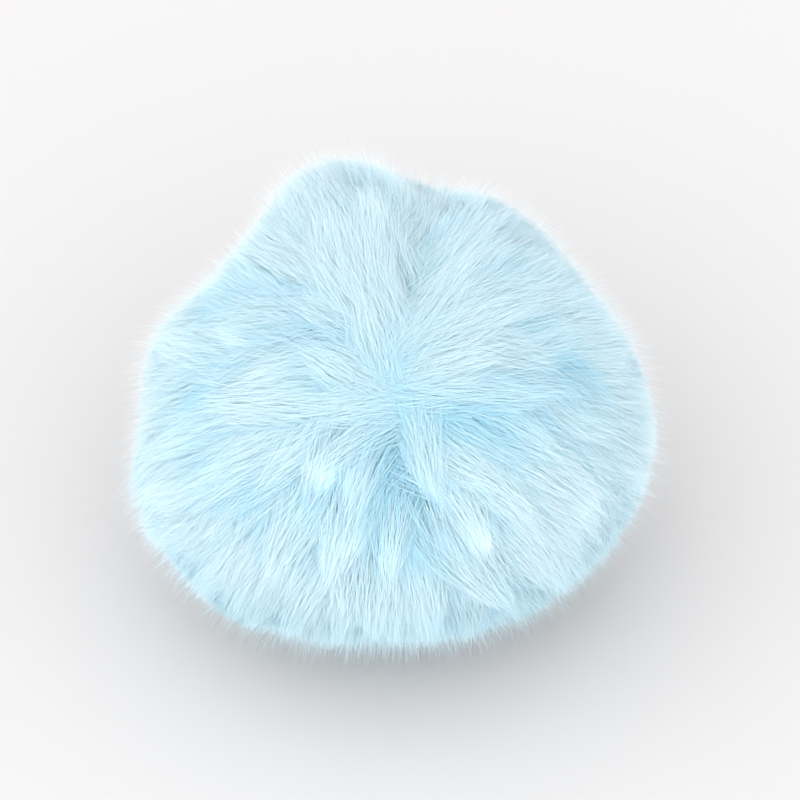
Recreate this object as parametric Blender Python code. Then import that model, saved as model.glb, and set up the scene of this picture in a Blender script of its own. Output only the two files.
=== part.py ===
"""A pale blue faux-fur pom pom, about 8 cm across, resting on the surface under it.

The real thing is one gathered ball of long-pile fur. Here it is one closed body: a lumpy ball
of dense pile, with a four-sided lock of fur drawn out of each of its cells. Metres, +Z up.
The origin is on the surface, under the middle of the ball, and the side that shows faces -Y.
"""

from collections import namedtuple
from math import cos, pi, radians, sin, sqrt, tan
from random import Random

import bmesh
import bpy
from mathutils import Matrix, Vector

# ---------------------------------------------------------------- driving dimensions
BALL_WIDTH = 0.0835  # across the tips of the fur, side to side, without lobes
BALL_DEPTH = 0.0825
BALL_RISE = 0.0405  # from the middle of the ball to the top of the fur
CENTRE_HEIGHT = 0.0385  # the middle, above the surface; the fur below is pressed shorter
LOCK_LENGTH = 0.0100  # fur that stands free of the dense pile

CELLS_ACROSS = 7  # cells on each of the six sides of the ball
FLAT_CELLS = 3  # across the flat spot, which carries no locks
CELL_TURN = Matrix.Rotation(radians(21), 3, "Z")
CELL_WANDER = radians(2.6)  # how far the cells stray from an even layout
WANDER_WAVES = Vector((4.3, 5.1, 4.7))  # waves of it along X, Y and Z

ROOT_INSET = 0.08  # share of a cell left bare round a lock's root
LENGTH_SPREAD = 0.07  # the locks are this share longer or shorter
COMB_LEAN = radians(13)  # the fur is combed away from the crown
DROOP = radians(5)
LEAN_SPREAD = radians(2.2)
LOCK_SEED = 11

FOOT_ANGLE = radians(52)  # from straight down, where the pile starts to be pressed
PRESS_ANGLE = radians(70)  # and where its locks start to splay
REST_BAND = 0.0035  # tips nearer than this to the surface lie on it

SHARP_EDGE = radians(50)
FUR_COLOUR = (0.60, 0.86, 0.96, 1.0)
FUR_ROUGHNESS = 0.95

# Between its root and its tip a lock has rings, each so far along it and so wide.
Ring = namedtuple("Ring", "along width")
RINGS = (
    Ring(along=0, width=1),
    Ring(along=0.34, width=1),
    Ring(along=0.70, width=0.70),
)

# Bearings are in degrees from +X towards +Y, heights in degrees above the middle.
CROWN_BEARING = -90  # the fur parts from a crown that faces forwards and up
CROWN_HEIGHT = 47

# Places where the ball swells or dips, with the spread in degrees.
Lobe = namedtuple("Lobe", "bearing height spread swell")
LOBES = (
    Lobe(bearing=112, height=41, spread=18, swell=0.0026),
    Lobe(bearing=79, height=42, spread=11, swell=-0.0036),
    Lobe(bearing=33, height=27, spread=24, swell=-0.0034),
    Lobe(bearing=149, height=25, spread=15, swell=-0.0052),
    Lobe(bearing=171, height=8, spread=13, swell=0.0014),
    Lobe(bearing=209, height=-22, spread=26, swell=0.0042),
    Lobe(bearing=-11, height=-10, spread=24, swell=0.0022),
    Lobe(bearing=-85, height=-40, spread=26, swell=0.0022),
    Lobe(bearing=60, height=-15, spread=20, swell=0.0012),
    Lobe(bearing=120, height=-20, spread=22, swell=-0.0012),
)

# A parting runs from one place on the ball to another, and the fur is lower along it.
Parting = namedtuple("Parting", "bearing height to_bearing to_height spread depth")
PARTINGS = (
    Parting(bearing=-66, height=77, to_bearing=79, to_height=48, spread=7, depth=0.0030),
    Parting(bearing=-93, height=37, to_bearing=-82, to_height=18, spread=7, depth=0.0034),
)


# ---------------------------------------------------------------- the ball's shape
def towards(bearing, height):
    """The unit direction from the middle of the ball at a bearing and a height in degrees."""
    level = cos(radians(height))
    turn = radians(bearing)
    return Vector((level * cos(turn), level * sin(turn), sin(radians(height))))


def from_below(direction):
    """The angle between a direction and straight down."""
    return direction.angle(Vector((0, 0, -1)))


def falloff(angle, spread):
    """1 at no angle, and a soft fall to nothing at about twice the spread in degrees."""
    return 2 ** (-((angle / radians(spread)) ** 2))


def angle_to_parting(direction, parting):
    """The angle between a direction and the nearest point of a parting."""
    start = towards(parting.bearing, parting.height)
    run = towards(parting.to_bearing, parting.to_height) - start
    share = (direction - start).dot(run) / run.length_squared
    nearest = start + run * min(max(share, 0), 1)
    return direction.angle(nearest)


def fur_reach(direction):
    """From the middle of the ball to the fur's tips: an ellipsoid with lobes and partings."""
    rise = direction.z / BALL_RISE
    side = direction.x / (BALL_WIDTH / 2)
    front = direction.y / (BALL_DEPTH / 2)
    reach = 1 / sqrt(side**2 + front**2 + rise**2)
    for lobe in LOBES:
        angle = direction.angle(towards(lobe.bearing, lobe.height))
        reach += lobe.swell * falloff(angle, lobe.spread)
    for parting in PARTINGS:
        reach -= parting.depth * falloff(angle_to_parting(direction, parting), parting.spread)
    return reach


def eased(share):
    """A smooth step from 0 to 1."""
    share = min(max(share, 0), 1)
    return share * share * (3 - 2 * share)


def pile_reach(direction, flat_angle):
    """From the middle to the dense pile, which the surface presses into a flat spot."""
    angle = from_below(direction)
    if angle <= flat_angle:
        return CENTRE_HEIGHT / cos(angle)
    free = fur_reach(direction) - LOCK_LENGTH
    share = eased((angle - flat_angle) / (FOOT_ANGLE - flat_angle))
    return CENTRE_HEIGHT / cos(flat_angle) * (1 - share) + free * share


# ---------------------------------------------------------------- cells
def even(position):
    """Spreads a cube's grid evenly over the ball; position runs from -1 to 1."""
    return tan(position * pi / 4)


def strayed(direction, flat_angle):
    """Moves a cell's corner a little, but none round the flat spot."""
    x, y, z = direction * WANDER_WAVES
    push = Vector((sin(y + z), sin(z - x), sin(x + y)))
    push *= CELL_WANDER * eased((from_below(direction) - flat_angle) / flat_angle)
    return (direction + push).normalized()


def in_flat_spot(cell):
    """Whether a cell of the cube's grid is in the middle of its underside."""
    x, y, z = cell.calc_center_median()
    return z < -max(abs(x), abs(y)) and max(abs(x), abs(y)) < FLAT_CELLS / CELLS_ACROSS


def cell_mesh():
    """A ball of four-sided cells, with one flat face under it. Returns it with that face."""
    flat_angle = pi / 4 * FLAT_CELLS / CELLS_ACROSS
    flat_radius = CENTRE_HEIGHT * tan(flat_angle)
    bm = bmesh.new()
    bmesh.ops.create_cube(bm, size=2)
    cuts = CELLS_ACROSS - 1
    bmesh.ops.subdivide_edges(bm, edges=bm.edges[:], cuts=cuts, use_grid_fill=True)
    spot = [cell for cell in bm.faces if in_flat_spot(cell)]
    for vert in bm.verts:
        direction = CELL_TURN @ Vector([even(position) for position in vert.co]).normalized()
        direction = strayed(direction, flat_angle)
        vert.co = direction * pile_reach(direction, flat_angle)
        vert.co.z += CENTRE_HEIGHT
    flat = bmesh.ops.dissolve_faces(bm, faces=spot, use_verts=True)["region"][0]
    for vert in flat.verts:
        round_off = flat_radius / Vector((vert.co.x, vert.co.y)).length
        vert.co = (vert.co.x * round_off, vert.co.y * round_off, 0)
    return bm, flat


# ---------------------------------------------------------------- locks
def combed(direction, lean, turn):
    """The direction of a lock's tip: away from the crown and down, and clear of the surface."""
    crown = towards(CROWN_BEARING, CROWN_HEIGHT)
    from_crown = direction.angle(crown)
    away = (direction - crown * direction.dot(crown)).normalized()
    along = away * cos(from_crown) - crown * sin(from_crown)
    side = direction.cross(along)
    down = Vector((0, 0, -1)) + direction * direction.z
    comb = COMB_LEAN * sin(from_crown) * cos(from_crown / 2)
    stray = (side * sin(turn) + along * cos(turn)) * lean
    pressed = 1 - eased(from_below(direction) / PRESS_ANGLE)
    free_shift = along * comb + down * DROOP + stray
    shift = free_shift * (1 - pressed) - down * COMB_LEAN * pressed
    return (direction + shift).normalized()


def lock_tip(direction, length_share, lean, turn):
    """Where a lock's tip is, laid on the surface where it would come near it."""
    tip_direction = combed(direction, lean, turn)
    reach = fur_reach(tip_direction) - LOCK_LENGTH * (1 - length_share)
    tip = tip_direction * reach + Vector((0, 0, CENTRE_HEIGHT))
    if tip.z < REST_BAND:
        tip.z = 0
    return tip


def grow_lock(bm, root, outward, tip):
    """Draws a lock out of the cell root: a bare rim, rings that narrow, and a tip."""
    below = list(root.verts)
    middle = root.calc_center_median()
    bm.faces.remove(root)
    corners = [(vert.co - middle) * (1 - ROOT_INSET) for vert in below]
    bend = middle + outward * (tip - middle).length / 2
    for ring in RINGS:
        centre = middle.lerp(bend, ring.along).lerp(bend.lerp(tip, ring.along), ring.along)
        lowest = min(corner.z for corner in corners) * ring.width
        centre.z = max(centre.z, -lowest)
        above = [bm.verts.new(centre + corner * ring.width) for corner in corners]
        for i in range(4):
            bm.faces.new((below[i - 1], below[i], above[i], above[i - 1]))
        below = above
    apex = bm.verts.new(tip)
    for i in range(4):
        bm.faces.new((below[i - 1], below[i], apex))


def set_over_origin(bm):
    """Moves the body level, so that the middle of its box is over the origin."""
    for axis in (0, 1):
        places = [vert.co[axis] for vert in bm.verts]
        middle = (min(places) + max(places)) / 2
        for vert in bm.verts:
            vert.co[axis] -= middle


def fur_mesh():
    """The whole body: the ball of cells, with a lock on every cell but the flat spot."""
    bm, flat = cell_mesh()
    middle = Vector((0, 0, CENTRE_HEIGHT))
    chance = Random(LOCK_SEED)
    roots = [f for f in bm.faces if f is not flat]
    for root in sorted(roots, key=lambda cell: cell.calc_center_median().to_tuple(6)):
        direction = (root.calc_center_median() - middle).normalized()
        length_share = 1 + chance.uniform(-LENGTH_SPREAD, LENGTH_SPREAD)
        lean = LEAN_SPREAD * chance.random()
        turn = chance.uniform(0, 2 * pi)
        grow_lock(bm, root, direction, lock_tip(direction, length_share, lean, turn))
    bmesh.ops.recalc_face_normals(bm, faces=bm.faces[:])
    set_over_origin(bm)
    mesh = bpy.data.meshes.new("fur_ball")
    bm.to_mesh(mesh)
    bm.free()
    return mesh


def fur_material():
    material = bpy.data.materials.new("pale_blue_fur")
    material.use_nodes = True
    shader = material.node_tree.nodes["Principled BSDF"]
    shader.inputs["Base Color"].default_value = FUR_COLOUR
    shader.inputs["Roughness"].default_value = FUR_ROUGHNESS
    shader.inputs["Metallic"].default_value = 0
    return material


def main():
    for thing in list(bpy.data.objects):
        bpy.data.objects.remove(thing)
    mesh = fur_mesh()
    mesh.materials.append(fur_material())
    mesh.shade_smooth()
    mesh.set_sharp_from_angle(angle=SHARP_EDGE)
    ball = bpy.data.objects.new("fur_ball", mesh)
    bpy.context.scene.collection.objects.link(ball)


main()
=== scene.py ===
"""The looks of a pale blue faux-fur pom pom: its dense pile, its coat and its loose hairs.

Metres, +Z up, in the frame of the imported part. Every hair is a thin three-sided cone that runs
from the dense pile to its tip. The coat lies in tufts, one over the next like scales, combed
away from a crown that faces the camera and pressed level where the ball rests.
"""

from collections import namedtuple

import bpy
import numpy as np
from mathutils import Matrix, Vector


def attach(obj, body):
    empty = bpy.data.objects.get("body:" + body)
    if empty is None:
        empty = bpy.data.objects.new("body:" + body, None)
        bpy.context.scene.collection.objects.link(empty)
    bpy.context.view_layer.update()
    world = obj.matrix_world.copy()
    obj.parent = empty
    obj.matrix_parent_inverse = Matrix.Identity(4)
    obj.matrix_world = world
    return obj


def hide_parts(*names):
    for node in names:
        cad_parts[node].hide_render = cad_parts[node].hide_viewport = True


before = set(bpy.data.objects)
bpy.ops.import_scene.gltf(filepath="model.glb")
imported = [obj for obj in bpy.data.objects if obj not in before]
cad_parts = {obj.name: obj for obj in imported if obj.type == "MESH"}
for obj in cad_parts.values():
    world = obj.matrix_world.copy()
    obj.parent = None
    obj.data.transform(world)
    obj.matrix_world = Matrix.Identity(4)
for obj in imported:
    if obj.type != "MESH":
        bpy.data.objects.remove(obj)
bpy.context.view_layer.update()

MM = 0.001
chance = np.random.default_rng(20)

# ---------------------------------------------------------------- the ball's own sizes
MIDDLE = np.array((0, 0, 38.5 * MM))
RADII = np.array((41.75, 41.25, 40.5)) * MM  # to the tips of the fur, without lobes

# Bearings are in degrees from +X towards +Y, heights and spreads in degrees.
Lobe = namedtuple("Lobe", "bearing height spread swell")
LOBES = (
    Lobe(bearing=112, height=41, spread=18, swell=2.6 * MM),
    Lobe(bearing=79, height=42, spread=11, swell=-3.6 * MM),
    Lobe(bearing=33, height=27, spread=24, swell=-3.4 * MM),
    Lobe(bearing=147, height=27, spread=15, swell=-7.0 * MM),
    Lobe(bearing=171, height=8, spread=13, swell=1.4 * MM),
    Lobe(bearing=209, height=-22, spread=26, swell=4.2 * MM),
    Lobe(bearing=-11, height=-10, spread=24, swell=2.2 * MM),
    Lobe(bearing=-88, height=-42, spread=20, swell=-1.6 * MM),
    Lobe(bearing=180, height=4, spread=9, swell=-1.8 * MM),
    Lobe(bearing=196, height=-14, spread=9, swell=1.4 * MM),
    Lobe(bearing=60, height=-15, spread=20, swell=1.2 * MM),
    Lobe(bearing=120, height=-20, spread=22, swell=-1.2 * MM),
)
Parting = namedtuple("Parting", "bearing height to_bearing to_height spread depth")
PARTINGS = (
    Parting(bearing=-66, height=77, to_bearing=79, to_height=48, spread=7, depth=3.0 * MM),
    Parting(bearing=-93, height=37, to_bearing=-82, to_height=18, spread=7, depth=3.4 * MM),
)
CROWN = (-90, 47)  # bearing and height of the place where the fur parts

# Gaps between tufts that show the deeper blue of the pile, made deeper still by painted shade.
Pocket = namedtuple("Pocket", "bearing height spread depth")
POCKETS = (
    Pocket(bearing=-93, height=35, spread=4.5, depth=3.0 * MM),
    Pocket(bearing=-90, height=25, spread=5.0, depth=4.5 * MM),
    Pocket(bearing=-83, height=18, spread=4.0, depth=4.5 * MM),
    Pocket(bearing=-80, height=13, spread=3.5, depth=3.5 * MM),
    Pocket(bearing=-118, height=22, spread=4.5, depth=3.5 * MM),
    Pocket(bearing=-107, height=20, spread=4.0, depth=3.5 * MM),
    Pocket(bearing=-113, height=8, spread=4.0, depth=3.0 * MM),
    Pocket(bearing=-98, height=3, spread=4.5, depth=3.5 * MM),
    Pocket(bearing=-62, height=42, spread=4.0, depth=2.5 * MM),
    Pocket(bearing=-64, height=2, spread=4.0, depth=2.5 * MM),
    Pocket(bearing=-70, height=-15, spread=4.0, depth=2.5 * MM),
)

# Broad places where the fur shows deeper blue, or paler where the shade is positive. The pale
# ones at the top of the back and low on the front are painted light.
Patch = namedtuple("Patch", "bearing height spread shade")
PATCHES = (
    Patch(bearing=-66, height=78, spread=9, shade=-0.15),
    Patch(bearing=60, height=74, spread=8, shade=-0.10),
    Patch(bearing=-27, height=33, spread=11, shade=-0.35),
    Patch(bearing=-9, height=57, spread=9, shade=-0.20),
    Patch(bearing=-50, height=34, spread=10, shade=-0.35),
    Patch(bearing=-62, height=42, spread=8, shade=-0.35),
    Patch(bearing=-155, height=27, spread=10, shade=-0.25),
    Patch(bearing=-171, height=50, spread=12, shade=-0.25),
    Patch(bearing=-141, height=16, spread=10, shade=-0.30),
    Patch(bearing=-125, height=50, spread=8, shade=-0.20),
    Patch(bearing=-92, height=35, spread=9, shade=-0.40),
    Patch(bearing=-95, height=18, spread=14, shade=-0.20),
    Patch(bearing=-108, height=80, spread=9, shade=0.20),
    Patch(bearing=-50, height=52, spread=9, shade=0.20),
    # painted light: paler fur low on the front
    Patch(bearing=-95, height=-28, spread=22, shade=0.05),
    # painted light: paler fur over the top of the back
    Patch(bearing=90, height=65, spread=30, shade=0.15),
)

# A tuft shows from its first place to its second, where its tips gather over the next tuft.
# Its width is from the middle line to a side.
Tuft = namedtuple("Tuft", "bearing height to_bearing to_height width lift")
SHOWN_TUFTS = (
    Tuft(bearing=-83, height=41, to_bearing=-81, to_height=25, width=5.5, lift=1.6 * MM),
    Tuft(bearing=-87, height=31, to_bearing=-86, to_height=17, width=2.6, lift=1.2 * MM),
    Tuft(bearing=-96, height=37, to_bearing=-101, to_height=20, width=4.8, lift=1.4 * MM),
    Tuft(bearing=-101, height=18, to_bearing=-104, to_height=2, width=5.0, lift=1.6 * MM),
    Tuft(bearing=-111, height=38, to_bearing=-110, to_height=20, width=4.6, lift=1.2 * MM),
    Tuft(bearing=-100, height=-2, to_bearing=-103, to_height=-18, width=4.4, lift=1.4 * MM),
    Tuft(bearing=-94, height=0, to_bearing=-95, to_height=-15, width=3.8, lift=1.4 * MM),
    Tuft(bearing=-89, height=20, to_bearing=-92, to_height=2, width=3.8, lift=0.6 * MM),
    Tuft(bearing=-84, height=0, to_bearing=-81, to_height=-17, width=5.4, lift=1.4 * MM),
    Tuft(bearing=-74, height=5, to_bearing=-62, to_height=-12, width=5.2, lift=1.2 * MM),
    Tuft(bearing=-73, height=27, to_bearing=-67, to_height=4, width=4.8, lift=0.2 * MM),
    Tuft(bearing=-77, height=36, to_bearing=-63, to_height=25, width=4.8, lift=0.8 * MM),
    Tuft(bearing=-65, height=27, to_bearing=-57, to_height=15, width=4.6, lift=0.8 * MM),
    Tuft(bearing=-50, height=24, to_bearing=-38, to_height=2, width=7.0, lift=0.8 * MM),
    Tuft(bearing=-76, height=49, to_bearing=-54, to_height=43, width=5.2, lift=1.0 * MM),
    Tuft(bearing=-75, height=55, to_bearing=-47, to_height=53, width=6.0, lift=0.8 * MM),
    Tuft(bearing=-116, height=36, to_bearing=-124, to_height=20, width=5.0, lift=0.8 * MM),
    Tuft(bearing=-127, height=52, to_bearing=-143, to_height=38, width=5.5, lift=0.6 * MM),
    Tuft(bearing=-72, height=63, to_bearing=-22, to_height=56, width=6.5, lift=0.6 * MM),
    Tuft(bearing=-81, height=66, to_bearing=-6, to_height=71, width=6.0, lift=0.6 * MM),
    Tuft(bearing=-111, height=47, to_bearing=-141, to_height=36, width=5.5, lift=0.6 * MM),
    Tuft(bearing=-98, height=51, to_bearing=-129, to_height=55, width=6.0, lift=0.5 * MM),
    Tuft(bearing=-127, height=33, to_bearing=-140, to_height=15, width=6.0, lift=0.8 * MM),
    Tuft(bearing=-124, height=2, to_bearing=-129, to_height=-18, width=5.0, lift=1.0 * MM),
    Tuft(bearing=-132, height=72, to_bearing=141, to_height=69, width=7.0, lift=0.5 * MM),
    Tuft(bearing=-109, height=81, to_bearing=106, to_height=70, width=6.0, lift=0.8 * MM),
    Tuft(bearing=-154, height=58, to_bearing=-166, to_height=40, width=7.0, lift=0.6 * MM),
    Tuft(bearing=-114, height=18, to_bearing=-118, to_height=-1, width=4.6, lift=1.0 * MM),
    Tuft(bearing=-106, height=4, to_bearing=-116, to_height=-22, width=5.0, lift=0.8 * MM),
    Tuft(bearing=-91, height=3, to_bearing=-90, to_height=-17, width=4.0, lift=1.0 * MM),
    Tuft(bearing=-71, height=0, to_bearing=-71, to_height=-23, width=5.0, lift=1.0 * MM),
    Tuft(bearing=-60, height=16, to_bearing=-47, to_height=-17, width=6.0, lift=0.8 * MM),
)

# ---------------------------------------------------------------- the dense pile
PILE_DEPTH = 3.8 * MM  # from the tips to the dense pile
PILE_DIP = 0.6  # the share of a dip in the coat that the pile follows
PILE_FINENESS = 7  # subdivisions of the ball: 81,920 triangles
FLAT_RADIUS = 9.5 * MM  # of the pile's flat spot; pressed hair widens it
PILE_REST = 1.3 * MM  # from the surface to the pile, which lies on pressed hair
FOOT_TURN = np.radians(20)  # over which the flat spot rises to the free pile
LEAST_COSINE = 0.2  # keeps the reach to the flat spot's plane finite
PRESS_BAND = 2.2 * MM  # above the surface, where hair is pressed flat
PRESS_SPLAY = 0.8  # how far pressed hair goes outwards, for each metre it is lifted
SPLAY_SPREAD = 0.05

# ---------------------------------------------------------------- how the fur is combed
COMB_LEAN = np.radians(15)
CROWN_CORE = np.radians(5)  # within this of the crown the lean fades to nothing
COMB_SPREAD = 48  # degrees from the crown at which half of the lean is left
DROOP = np.radians(6)
PRESS_ANGLE = np.radians(60)  # from straight down; below it the hair splays outwards
PART_LEAN = np.radians(4)
PART_SPREAD = np.radians(36)  # on each side of a parting
ROUGH_PLACE = (-92, 8)  # bearing and height of the place where the coat is roughest
ROUGH_SPREAD = 48
SMOOTHEST = 0.22  # roughness where the coat is smooth

# ---------------------------------------------------------------- tufts
TUFT_PLACES = 640  # tried, besides the tufts that show
TUFT_JITTER = 0.25  # of the pitch between them
CROWN_CLEAR = np.radians(15)  # no seeded tuft this near the crown
SHOWN_CLEAR = 1.2  # and none within this many widths of a tuft that shows
KEPT_SMOOTH = 0.35  # the share of the places kept where the coat is smooth
KEPT_ROUGH = 0.50  # and what is added to it where it is rough
SHOWN_LEAN = np.radians(15)
SHOWN_TONE = 0.08
FLOW_SPREAD = np.radians(3.2)
TUFT_WIDTHS = (2.6, 4.2)  # degrees from the middle line to a side, where the coat is rough
SMOOTH_WIDENING = 0.9  # the share by which they are wider where it is smooth
TUFT_LENGTHS = (1.5, 2.1)  # from the middle to the point, in widths
LIFT_SPREAD = 0.8 * MM
STRENGTHS = (0.5, 1.0)  # how deep a seeded tuft is, beside one that shows
TONE_SPREAD = 0.08
TUFT_RISE = 2.4 * MM  # between the middle of a strong tuft and its point
LONG_TUFT = np.radians(11)  # from its middle to its point; shorter ones rise less
TUFT_TAPER = 0.35  # how much narrower a tuft is at its point
BED_SLOPE = 0.8  # how a tuft stands: up along its bed,
SIDE_FALL = 1.1  # down to both sides,
POINT_FALL = 7  # steeply down past its point,
POINT_ROUND = 0.5  # which is round,
TAIL_FALL = 2  # and down behind its tail
TAIL = 1.2  # where that starts, in lengths behind the middle
LOWEST_STAND = -1.5
LIFT_SCALE = 2 * MM  # a tuft lifted this much more lies over one that stands 1 higher
NEARBY = 0.7  # the cosine within which a tuft can cover a place
UNSEEN = -1e3
BATCH = 10000  # places that are looked up at once

# ---------------------------------------------------------------- hairs
PIECE_HAIRS = 55000  # at most, in one piece
THICKNESSES = (0.7, 1.25)
CORNER_TURNS = (np.pi / 6, np.pi * 5 / 6, np.pi * 3 / 2)  # round the root, a flat side outwards
CONE_FACES = ((0, 1, 3), (1, 2, 3), (2, 0, 3))  # three corners of the root, and the tip
ROLL = 0.12  # how unevenly the flat sides face outwards

COAT_HAIRS = 112000
COAT_JITTER = 0.5  # of the pitch between hairs
HAIR_RADIUS = 0.060 * MM
HEADING_SPREAD = np.radians(9)
LEANS = (0.75, 1.15)  # in shares of the tuft's own lean
GATHER = 0.30  # how far hairs turn in towards their tuft's point
GATHER_SIDE = 1.3  # widths from the middle line, past which they turn in no more
GATHER_TAIL = 0.4  # lengths behind the middle, where they start to turn in
TIP_PLACES = (-0.5, 1.5)  # degrees that a tip lies past its place
RUN_OUT = 0.9  # degrees more, on average, on a deep tuft
POCKET_PULL = 0.4  # the share of its lean by which a tip is drawn back in a pocket
ROOT_SPREAD = np.radians(1.0)
ROOT_LIFT = 0.2  # the share of its tuft's lift that a root follows
COAT_SINK = 0.2 * MM  # from the ball's own form to the longest coat hairs
COAT_DROP = 0.35 * MM  # how unevenly the tips end where the coat is smooth
ROUGH_DROP = 0.85 * MM  # and what is added to it where it is rough
SHORTEST = 1.5 * MM

FEATHER_HAIRS = 52000  # sparse, thin and pale, standing out of the coat
FEATHER_JITTER = 0.6
FEATHERLESS = np.radians(30)  # from straight down, where none grow
FEATHER_RADIUS = 0.032 * MM
FEATHER_LEAN = 1.1
FEATHER_SPREAD = np.radians(3.5)
FEATHER_LENGTH = 7 * MM  # below the coat
FEATHER_TIPS = (-2.0, 0.0, 4.2)  # millimetres past the coat: least, most often and most

# ---------------------------------------------------------------- colours, linear
# A hair's tone runs from 0, deep, to 1, pale. Its whiteness says how far its colour gets from
# the root's colour to the tip's.
COAT_TONE = 0.66
STRAND_TONE_SPREAD = 0.06
LIFT_LIGHT_AND_SHADE = 0.23  # painted light and shade: added for each millimetre that a tuft lifts the hair, taken away for each that it lies lower
TONED_LIFTS = (-3, 0.6)  # millimetres between which that holds
POINT_TONE = 0.08  # added towards a tuft's point
PALEST_COAT = 0.76
PATCH_WHITENESS = 0.4  # the share of a patch's shade that whiteness follows
DROP_SHADE_FADE = 12 * MM  # painted shade: a tip that ends this far below the coat has no whiteness,
GAP_SHADE_FADE = 9 * MM  # nor has a hair this deep in a gap
COAT_WHITENESS = (0.20, 0.80)
SHADE_BELOW_FROM = 0.055  # heights on a ball of radius 1: painted shade makes the fur greyer below this,
SHADE_BELOW_BAND = 0.55  # and greyest this much lower
COAT_SHADE_BELOW = 0.85  # the whiteness that this painted shade takes away

FEATHER_TONES = (0.6, 1.1)
FEATHER_SHADE = 0.5  # the share of a patch's shade that feathers follow
# painted shade: the whiteness that feathers lose low on the ball
FEATHER_SHADE_BELOW = 0.7
FEATHER_ROOT_PALENESS = 0.55

PILE_TONE = 0.60
PILE_TONE_SPREAD = 0.08
PILE_POINT_TONE = 0.15
# painted shade: the pile is deeper blue in pockets
PILE_POCKET_SHADE_TONE = -0.5
PILE_WHITENESS = 0.65
PILE_WHITENESS_SPREAD = 0.05
# painted shade: and greyer there
PILE_POCKET_SHADE_GREY = 0.2
# painted shade: the whiteness that the pile loses low on the ball
PILE_SHADE_BELOW = 0.4

MAP_NAME = "OFBake"  # u of this map is the tone, and v goes from the root's colour to the tip's
MAP_ENDS = (0.02, 0.98)  # between which tones stay
MAP_SCALE = 0.98  # leaves room for the edge and the step
MAP_EDGE = 0.01
MAP_STEP = 0.004  # between a hair's corners, so that no face is a mere line on the map

FLOOR_COLOUR = (0.705, 0.692, 0.695, 1)
RAMP_PLACES = (0.1, 0.5, 0.9)  # of the colours of the root, the middle and the tip
DEEP_COLOURS = ((0.34, 0.67, 0.82), (0.46, 0.82, 0.97), (0.56, 0.88, 0.985))
PALE_COLOURS = ((0.55, 0.73, 0.78), (0.77, 0.92, 0.98), (0.92, 0.97, 0.99))


# ---------------------------------------------------------------- directions
def towards(bearing, height):
    """The unit direction from the middle of the ball at a bearing and a height in degrees."""
    turn, rise = np.radians((bearing, height))
    return np.array((np.cos(rise) * np.cos(turn), np.cos(rise) * np.sin(turn), np.sin(rise)))


def unit(vectors):
    return vectors / np.maximum(np.linalg.norm(vectors, axis=-1, keepdims=True), 1e-12)


def angle_between(a, b):
    return np.arccos(np.clip((a * b).sum(-1), -1, 1))


def falloff(angle, spread):
    """1 at no angle, a half at the spread in degrees, and soon nothing."""
    return 2.0 ** (-((angle / np.radians(spread)) ** 2))


def nearness(directions, place):
    """1 at a named place on the ball, a half at its spread, and soon nothing."""
    angle = angle_between(directions, towards(place.bearing, place.height))
    return falloff(angle, place.spread)


def eased(share):
    """A smooth step from 0 to 1."""
    share = np.clip(share, 0, 1)
    return share * share * (3 - 2 * share)


def from_below(directions):
    """The angle between directions and straight down."""
    return np.arccos(np.clip(-directions[..., 2], -1, 1))


def even_directions(count, jitter):
    """Directions spread evenly over a ball along a golden-angle spiral, then jittered."""
    index = np.arange(count) + 0.5
    rise = 1 - 2 * index / count
    turn = index * np.pi * (3 - np.sqrt(5))
    level = np.sqrt(1 - rise**2)
    spiral = np.stack((level * np.cos(turn), level * np.sin(turn), rise), 1)
    pitch = np.sqrt(4 * np.pi / count)
    return unit(spiral + chance.normal(0, jitter * pitch, (count, 3)))


# ---------------------------------------------------------------- the ball's outline
def fur_reach(directions):
    """From the middle to the fur's tips, close to the form of the part's own solid."""
    reach = 1 / np.linalg.norm(directions / RADII, axis=-1)
    for lobe in LOBES:
        reach = reach + lobe.swell * nearness(directions, lobe)
    for parting in PARTINGS:
        angle = angle_between(directions, nearest_on_parting(directions, parting))
        reach = reach - parting.depth * falloff(angle, parting.spread)
    return reach


def nearest_on_parting(directions, parting):
    start = towards(parting.bearing, parting.height)
    run = towards(parting.to_bearing, parting.to_height) - start
    share = np.clip(((directions - start) @ run) / (run @ run), 0, 1)
    return unit(start + run * share[..., None])


def pocket_depth(directions):
    return sum(pocket.depth * nearness(directions, pocket) for pocket in POCKETS)


def sunk(directions):
    """1 in the middle of a pocket, and 0 away from them all."""
    return np.maximum.reduce([nearness(directions, pocket) for pocket in POCKETS])


def patch_tone_and_light(directions):
    return sum(patch.shade * nearness(directions, patch) for patch in PATCHES)


def pile_reach(directions, lift):
    """From the middle to the dense pile, which is pressed flat below."""
    angle = from_below(directions)
    drop = MIDDLE[2] - PILE_REST
    flat_angle = np.arctan(FLAT_RADIUS / drop)
    to_plane = drop / np.maximum(np.cos(angle), LEAST_COSINE)
    free = fur_reach(directions) + PILE_DIP * np.minimum(lift, 0) - PILE_DEPTH
    share = eased((angle - flat_angle) / FOOT_TURN)
    return np.minimum(to_plane, drop / np.cos(flat_angle) * (1 - share) + free * share)


def comb_shift(directions):
    """How far a hair leans from its root's direction to its tip's, as a vector."""
    crown = towards(*CROWN)
    from_crown = angle_between(directions, crown)[:, None]
    away = unit(directions - crown * (directions @ crown)[:, None])
    along = away * np.cos(from_crown) - crown * np.sin(from_crown)
    down = np.array((0, 0, -1.0)) + directions * directions[:, 2:]
    comb = COMB_LEAN * (1 - np.exp(-from_crown / CROWN_CORE)) * falloff(from_crown, COMB_SPREAD)
    pressed = 1 - eased(from_below(directions) / PRESS_ANGLE)[:, None]
    free = along * comb + down * DROOP + parted(directions)
    return free * (1 - pressed) - down * COMB_LEAN * pressed


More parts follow.
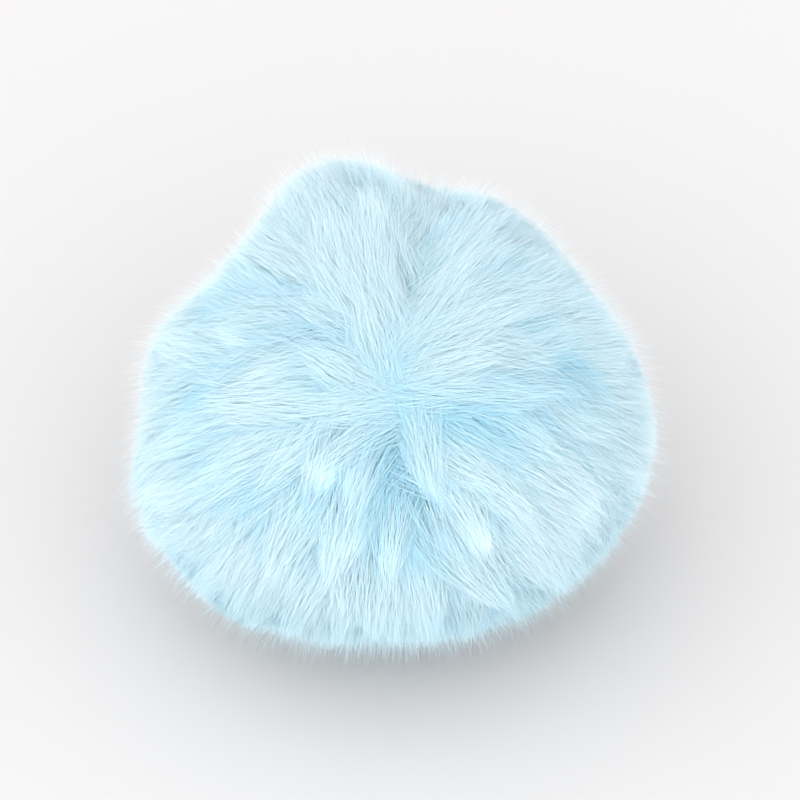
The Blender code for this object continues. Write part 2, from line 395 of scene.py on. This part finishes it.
def parted(directions):
    """The lean of hair away from the partings on both sides of them."""
    lean = np.zeros_like(directions)
    for parting in PARTINGS:
        away = directions - nearest_on_parting(directions, parting)
        angle = np.linalg.norm(away, axis=1, keepdims=True)
        lean += PART_LEAN * unit(away) * np.sin(np.pi * np.clip(angle / PART_SPREAD, 0, 1))
    return lean


def roughness_of_coat(directions):
    """1 where the coat breaks into deep tufts, low on the front, and less where it is smooth."""
    rough = falloff(angle_between(directions, towards(*ROUGH_PLACE)), ROUGH_SPREAD)
    return SMOOTHEST + (1 - SMOOTHEST) * rough


def painted_shade_below(directions):
    """0 above the middle and 1 far below it, where painted shade makes the fur greyer."""
    return eased((SHADE_BELOW_FROM - directions[:, 2]) / SHADE_BELOW_BAND)


# ---------------------------------------------------------------- tufts
def spread_of(count, size):
    """Random vectors, each part of them about this large."""
    return chance.normal(0, size, (count, 3))


Tufts = namedtuple("Tufts", "middle flow lean length width lift strength tone")


def shown_tufts():
    """The tufts that the photograph shows."""
    start = np.array([towards(t.bearing, t.height) for t in SHOWN_TUFTS])
    end = np.array([towards(t.to_bearing, t.to_height) for t in SHOWN_TUFTS])
    count = len(SHOWN_TUFTS)
    return Tufts(
        middle=unit(start + end),
        flow=unit(end - start),
        lean=np.full(count, SHOWN_LEAN),
        length=angle_between(start, end) / 2,
        width=np.radians([t.width for t in SHOWN_TUFTS]),
        lift=np.array([t.lift for t in SHOWN_TUFTS]),
        strength=np.ones(count),
        tone=np.full(count, SHOWN_TONE),
    )


def seeded_tufts(shown):
    """Tufts like the ones that show, wherever those and the crown leave room."""
    middle = even_directions(TUFT_PLACES, TUFT_JITTER)
    coat = roughness_of_coat(middle)
    apart = np.arccos(np.clip(middle @ shown.middle.T, -1, 1)) > shown.width * SHOWN_CLEAR
    clear = apart.all(axis=1) & (angle_between(middle, towards(*CROWN)) > CROWN_CLEAR)
    middle = middle[clear & (chance.random(TUFT_PLACES) < KEPT_SMOOTH + KEPT_ROUGH * coat)]
    count = len(middle)
    shift = comb_shift(middle) + spread_of(count, FLOW_SPREAD)
    shift = shift - middle * (shift * middle).sum(1, keepdims=True)
    width = np.radians(chance.uniform(*TUFT_WIDTHS, count))
    width = width * (1 + SMOOTH_WIDENING * (1 - roughness_of_coat(middle)))
    return Tufts(
        middle=middle,
        flow=unit(shift),
        lean=np.linalg.norm(shift, axis=1),
        length=width * chance.uniform(*TUFT_LENGTHS, count),
        width=width,
        lift=chance.normal(0, LIFT_SPREAD, count),
        strength=chance.uniform(*STRENGTHS, count),
        tone=chance.normal(0, TONE_SPREAD, count),
    )


def all_tufts():
    shown = shown_tufts()
    return Tufts(*(np.concatenate(pair) for pair in zip(shown, seeded_tufts(shown))))


def standing(along, across):
    """How high a tuft stands, in shares of its rise, at places along it and across it."""
    stand = BED_SLOPE * np.clip(along, LOWEST_STAND, 1) - SIDE_FALL * across**2
    stand -= POINT_FALL * np.maximum(along - 1 + POINT_ROUND * across**2, 0)
    return stand - TAIL_FALL * np.maximum(-TAIL - along, 0)


OnTuft = namedtuple("OnTuft", "tuft along across lift")


def on_tufts(places, tufts):
    """The tuft that lies on top at each place, where the place is on it and how high it stands.

    Tufts lie over each other like scales: one rises along its bed and ends in a soft point,
    with a step down to the next one.
    """
    side = unit(np.cross(tufts.middle, tufts.flow))
    found = []
    for part in np.array_split(places, -(-len(places) // BATCH)):
        along = (part @ tufts.flow.T) / tufts.length
        across = (part @ side.T) / tufts.width / (1 - TUFT_TAPER * np.clip(along, 0, 1))
        stand = np.where(part @ tufts.middle.T > NEARBY, standing(along, across), UNSEEN)
        top = np.argmax(stand + tufts.lift / LIFT_SCALE, axis=1)
        row = np.arange(len(part))
        found.append((top, along[row, top], across[row, top], stand[row, top]))
    tuft, along, across, stand = (np.concatenate(values) for values in zip(*found))
    coat = roughness_of_coat(tufts.middle)
    rise = tufts.strength * coat * TUFT_RISE * np.minimum(tufts.length / LONG_TUFT, 1)
    lift = (tufts.lift * coat)[tuft] + rise[tuft] * np.clip(stand, LOWEST_STAND, 1)
    return OnTuft(tuft, along, across, lift - pocket_depth(places))


# ---------------------------------------------------------------- hairs
# Roots and tips are directions; base and height are how far from the middle they lie.
Hairs = namedtuple("Hairs", "root tip base height tone whiteness")


def coat_hairs(tufts):
    """Hairs that lie along their tufts, come together at its point and run out past it."""
    places = even_directions(COAT_HAIRS, COAT_JITTER)
    count = len(places)
    at = on_tufts(places, tufts)
    coat = roughness_of_coat(places)
    strength = tufts.strength[at.tuft] * coat
    inwards = strength * np.clip(at.across, -GATHER_SIDE, GATHER_SIDE)
    inwards = inwards * np.clip(at.along + GATHER_TAIL, 0, 1)
    turn = (chance.normal(0, HEADING_SPREAD, count) - GATHER * inwards)[:, None]
    flow = tufts.flow[at.tuft]
    side = unit(np.cross(tufts.middle[at.tuft], flow))
    heading = flow * np.cos(turn) + side * np.sin(turn)
    lean = tufts.lean[at.tuft] * chance.uniform(*LEANS, count)
    past = chance.uniform(*TIP_PLACES, count) + strength * chance.exponential(RUN_OUT, count)
    past = np.radians(past) - POCKET_PULL * lean * sunk(places)
    tips = unit(places + heading * past[:, None])
    roots = unit(tips - heading * lean[:, None] + spread_of(count, ROOT_SPREAD))

    drop = np.abs(chance.normal(0, 1, count)) * (COAT_DROP + ROUGH_DROP * coat)
    height = fur_reach(places) + at.lift - drop - COAT_SINK
    base = fur_reach(roots) + ROOT_LIFT * at.lift - PILE_DEPTH
    base = np.minimum(base, height - SHORTEST)
    shade = patch_tone_and_light(places)
    tone = COAT_TONE + tufts.tone[at.tuft] + chance.normal(0, STRAND_TONE_SPREAD, count) + shade
    # painted light and shade: lifted hair is paler, hair low in gaps and pockets deeper blue
    tone = tone + LIFT_LIGHT_AND_SHADE * np.clip(at.lift / MM, *TONED_LIFTS)
    tone = np.minimum(tone + POINT_TONE * strength * at.along, PALEST_COAT)
    # painted shade: tips that end low in the coat, hairs deep in gaps and the fur low on the
    # ball lose whiteness
    whiteness = 1 - drop / DROP_SHADE_FADE + PATCH_WHITENESS * shade
    whiteness = whiteness + np.minimum(at.lift, 0) / GAP_SHADE_FADE - COAT_SHADE_BELOW * painted_shade_below(places)
    return Hairs(roots, tips, base, height, tone, np.clip(whiteness, *COAT_WHITENESS))


def feather_hairs():
    """Sparse hairs that stand out of the coat and soften its outline."""
    roots = even_directions(FEATHER_HAIRS, FEATHER_JITTER)
    roots = roots[from_below(roots) > FEATHERLESS]
    count = len(roots)
    tips = unit(roots + comb_shift(roots) * FEATHER_LEAN + spread_of(count, FEATHER_SPREAD))
    coat = fur_reach(tips) - pocket_depth(roots)
    height = coat + chance.triangular(*FEATHER_TIPS, count) * MM
    tone = chance.uniform(*FEATHER_TONES, count) + FEATHER_SHADE * patch_tone_and_light(tips)
    # painted shade: feathers low on the ball are greyer
    whiteness = 1 - FEATHER_SHADE_BELOW * painted_shade_below(tips)
    return Hairs(roots, tips, coat - FEATHER_LENGTH, height, tone, whiteness)


# ---------------------------------------------------------------- strands
Strands = namedtuple("Strands", "base tip radius tone whiteness")


def pressed_down(points, outward):
    """Keeps hair above the surface: what would go under it is laid outwards on it."""
    z = points[:, 2]
    level = np.where(z < PRESS_BAND, PRESS_BAND * np.exp((z - PRESS_BAND) / PRESS_BAND), z)
    moved = points.copy()
    moved[:, 2] = level
    moved[:, :2] += outward * (level - z)[:, None] * PRESS_SPLAY
    return moved


def strands_of(hairs, radius):
    """The hairs where they lie in the scene, in metres, with uneven thickness."""
    base = hairs.root * hairs.base[:, None] + MIDDLE
    tip = hairs.tip * hairs.height[:, None] + MIDDLE
    outward = unit(hairs.root[:, :2] + chance.normal(0, SPLAY_SPREAD, (len(base), 2)))
    thickness = radius * chance.uniform(*THICKNESSES, len(base))
    base, tip = pressed_down(base, outward), pressed_down(tip, outward)
    return Strands(base, tip, thickness, hairs.tone, hairs.whiteness)


def cone_corners(strands):
    """Each strand's corners: three round its root, and its tip."""
    ahead = unit(strands.tip - strands.base)
    outward = unit((strands.base + strands.tip) / 2 - MIDDLE) + spread_of(len(ahead), ROLL)
    sideways = unit(np.cross(ahead, outward))
    upright = np.cross(sideways, ahead)
    corners = []
    for turn in CORNER_TURNS:
        off = sideways * np.cos(turn) + upright * np.sin(turn)
        corners.append(strands.base + off * strands.radius[:, None])
    return np.stack((*corners, strands.tip), 1)


def set_map(mesh, u, v):
    layer = mesh.uv_layers.new(name=MAP_NAME)
    layer.uv.foreach_set("vector", np.stack((u, v), -1).astype(np.float32).ravel())


def strand_mesh(name, strands, root_paleness):
    """Thin three-sided cones, open at the root, as one mesh."""
    corners = cone_corners(strands)
    count = len(corners)
    corner_ids = np.array(CONE_FACES).ravel()
    mesh_ids = (corner_ids + 4 * np.arange(count)[:, None]).ravel()
    mesh = bpy.data.meshes.new(name)
    mesh.vertices.add(4 * count)
    mesh.vertices.foreach_set("co", corners.astype(np.float32).ravel())
    mesh.loops.add(len(mesh_ids))
    mesh.loops.foreach_set("vertex_index", mesh_ids.astype(np.int32))
    mesh.polygons.add(3 * count)
    mesh.polygons.foreach_set("loop_start", np.arange(3 * count, dtype=np.int32) * 3)

    beside = MAP_STEP * np.array((0, 1, 2, 1))[corner_ids]
    paleness = np.array((root_paleness, root_paleness, root_paleness, 1))[corner_ids]
    u = np.clip(strands.tone, *MAP_ENDS)[:, None] * MAP_SCALE + beside
    v = MAP_EDGE + MAP_SCALE * paleness * strands.whiteness[:, None]
    set_map(mesh, u, v)
    mesh.update(calc_edges=True)
    mesh.validate()
    mesh.shade_flat()
    return mesh


# ---------------------------------------------------------------- materials
def new_material(name):
    material = bpy.data.materials.new(name)
    material.use_nodes = True
    return material, material.node_tree.nodes["Principled BSDF"]


def ramp(nodes, colours):
    """A colour ramp through the colours of the root, the middle and the tip."""
    node = nodes.new("ShaderNodeValToRGB")
    elements = node.color_ramp.elements
    elements.new(RAMP_PLACES[1])
    for element, place, colour in zip(elements, RAMP_PLACES, colours):
        element.position = place
        element.color = (*colour, 1)
    return node


def hair_material():
    """Bluer at the root and paler at the tip, by each hair's tone and whiteness, which also
    carry painted shade and light.
    """
    material, shader = new_material("fur_hair")
    nodes, links = material.node_tree.nodes, material.node_tree.links
    place = nodes.new("ShaderNodeUVMap")
    place.uv_map = MAP_NAME
    split = nodes.new("ShaderNodeSeparateXYZ")
    links.new(place.outputs["UV"], split.inputs[0])
    deep = ramp(nodes, DEEP_COLOURS)
    pale = ramp(nodes, PALE_COLOURS)
    links.new(split.outputs["Y"], deep.inputs["Fac"])
    links.new(split.outputs["Y"], pale.inputs["Fac"])
    mix = nodes.new("ShaderNodeMix")
    mix.data_type = "RGBA"
    links.new(split.outputs["X"], mix.inputs["Factor"])
    links.new(deep.outputs["Color"], mix.inputs["A"])
    links.new(pale.outputs["Color"], mix.inputs["B"])
    links.new(mix.outputs["Result"], shader.inputs["Base Color"])
    shader.inputs["Roughness"].default_value = 0.8
    shader.inputs["Specular IOR Level"].default_value = 0.12
    return material


def floor_material():
    material, shader = new_material("pale_floor")
    shader.inputs["Base Color"].default_value = FLOOR_COLOUR
    shader.inputs["Roughness"].default_value = 0.6
    shader.inputs["Specular IOR Level"].default_value = 0.2
    return material


# ---------------------------------------------------------------- pieces
def make_pile(tufts, material):
    """The dense pile that the hair stands in, in the form of its tufts."""
    bpy.ops.mesh.primitive_ico_sphere_add(subdivisions=PILE_FINENESS, radius=1)
    pile = bpy.context.object
    pile.name = "dense_pile"
    mesh = pile.data
    directions = np.empty(len(mesh.vertices) * 3, np.float32)
    mesh.vertices.foreach_get("co", directions)
    directions = unit(directions.reshape(-1, 3).astype(float))
    at = on_tufts(directions, tufts)
    points = directions * pile_reach(directions, at.lift)[:, None] + MIDDLE
    mesh.vertices.foreach_set("co", points.astype(np.float32).ravel())

    count = len(directions)
    strength = tufts.strength[at.tuft] * roughness_of_coat(directions)
    pocket_shade = sunk(directions)
    tone = PILE_TONE + tufts.tone[at.tuft] + patch_tone_and_light(directions)
    # painted shade: the pile is deeper blue and greyer in pockets, and greyer low on the ball
    tone = tone + PILE_POCKET_SHADE_TONE * pocket_shade + PILE_POINT_TONE * strength * at.along
    tone = tone + chance.normal(0, PILE_TONE_SPREAD, count)
    whiteness = PILE_WHITENESS + chance.normal(0, PILE_WHITENESS_SPREAD, count)
    whiteness = whiteness - PILE_POCKET_SHADE_GREY * pocket_shade - PILE_SHADE_BELOW * painted_shade_below(directions)
    corner = np.empty(len(mesh.loops), np.int32)
    mesh.loops.foreach_get("vertex_index", corner)
    while mesh.uv_layers:
        mesh.uv_layers.remove(mesh.uv_layers[0])
    set_map(mesh, np.clip(tone, *MAP_ENDS)[corner], np.clip(whiteness, *MAP_ENDS)[corner])
    mesh.update()
    mesh.shade_smooth()
    mesh.materials.append(material)
    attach(pile, "root")
    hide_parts("fur_ball")


def make_strands(name, hairs, radius, root_paleness, material):
    """Joined meshes of hairs, of no more than PIECE_HAIRS hairs each."""
    strands = strands_of(hairs, radius)
    shuffled = chance.permutation(len(strands.base))
    pieces = -(-len(shuffled) // PIECE_HAIRS)
    for number in range(pieces):
        chosen = Strands(*(values[shuffled[number::pieces]] for values in strands))
        mesh = strand_mesh(f"{name}_{number + 1}", chosen, root_paleness)
        mesh.materials.append(material)
        piece = bpy.data.objects.new(mesh.name, mesh)
        bpy.context.scene.collection.objects.link(piece)
        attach(piece, "root")


# ---------------------------------------------------------------- stage, lights and camera
IMAGE = 800  # pixels across and down
PIXEL = 0.163 * MM  # on a plane through the ball's middle
BALL_AT = (394, 408)  # where the ball's middle falls in the image
CAMERA_RISE = np.radians(47)
CAMERA_AWAY = 0.70
CLIP_START = 0.01
FLOOR_SIZE = 6
FLOOR_GAP = 0.1 * MM  # below the surface that the ball rests on
SKY_FRONT = (-0.20, -0.83, 0.51)  # the side that most of the light comes from
SKY_AHEAD = 1.89  # added there to the light from behind
SKY_BEHIND = 0.54
SKY_FOCUS = 2.5
BOUNCES = 3  # of light between hairs


def make_camera():
    back = Vector((0, -np.cos(CAMERA_RISE), np.sin(CAMERA_RISE)))
    up = Vector((0, np.sin(CAMERA_RISE), np.cos(CAMERA_RISE)))
    aim = Vector(MIDDLE) + Vector((1, 0, 0)) * (IMAGE / 2 - BALL_AT[0]) * PIXEL
    aim += up * (BALL_AT[1] - IMAGE / 2) * PIXEL
    data = bpy.data.cameras.new("camera")
    data.lens = data.sensor_width * CAMERA_AWAY / (IMAGE * PIXEL)
    data.clip_start = CLIP_START
    camera = bpy.data.objects.new("camera", data)
    camera.location = aim + back * CAMERA_AWAY
    camera.rotation_mode = "QUATERNION"
    camera.rotation_quaternion = (-back).to_track_quat("-Z", "Y")
    bpy.context.scene.collection.objects.link(camera)
    bpy.context.scene.camera = camera


def make_floor():
    bpy.ops.mesh.primitive_plane_add(size=FLOOR_SIZE, location=(0, 0, -FLOOR_GAP))
    floor = bpy.context.object
    floor.name = "floor"
    floor.data.materials.append(floor_material())


def make_sky():
    """Soft white light from all sides, most of it from above the front.

    Cycles finds it by bounces alone, without a light sample at each, which suits many hairs.
    """
    world = bpy.data.worlds.new("soft_white")
    world.use_nodes = True
    tree = world.node_tree
    place = tree.nodes.new("ShaderNodeTexCoord")
    facing = tree.nodes.new("ShaderNodeVectorMath")
    facing.operation = "DOT_PRODUCT"
    facing.inputs[1].default_value = Vector(SKY_FRONT).normalized()
    share = tree.nodes.new("ShaderNodeMapRange")
    share.inputs["From Min"].default_value = -1
    focus = tree.nodes.new("ShaderNodeMath")
    focus.operation = "POWER"
    focus.inputs[1].default_value = SKY_FOCUS
    light = tree.nodes.new("ShaderNodeMath")
    light.operation = "MULTIPLY_ADD"
    light.inputs[1].default_value = SKY_AHEAD
    light.inputs[2].default_value = SKY_BEHIND
    tree.links.new(place.outputs["Generated"], facing.inputs[0])
    tree.links.new(facing.outputs["Value"], share.inputs["Value"])
    tree.links.new(share.outputs["Result"], focus.inputs[0])
    tree.links.new(focus.outputs["Value"], light.inputs[0])
    tree.links.new(light.outputs["Value"], tree.nodes["Background"].inputs["Strength"])
    tree.nodes["Background"].inputs["Color"].default_value = (1, 1, 1, 1)
    world.cycles.sampling_method = "NONE"
    scene = bpy.context.scene
    scene.world = world
    scene.cycles.diffuse_bounces = BOUNCES
    scene.cycles.max_bounces = BOUNCES + 1
    scene.view_settings.view_transform = "Standard"


make_camera()
make_floor()
make_sky()
hair = hair_material()
tufts = all_tufts()
make_pile(tufts, hair)
make_strands("fur_coat", coat_hairs(tufts), HAIR_RADIUS, 0, hair)
make_strands("fur_feathers", feather_hairs(), FEATHER_RADIUS, FEATHER_ROOT_PALENESS, hair)
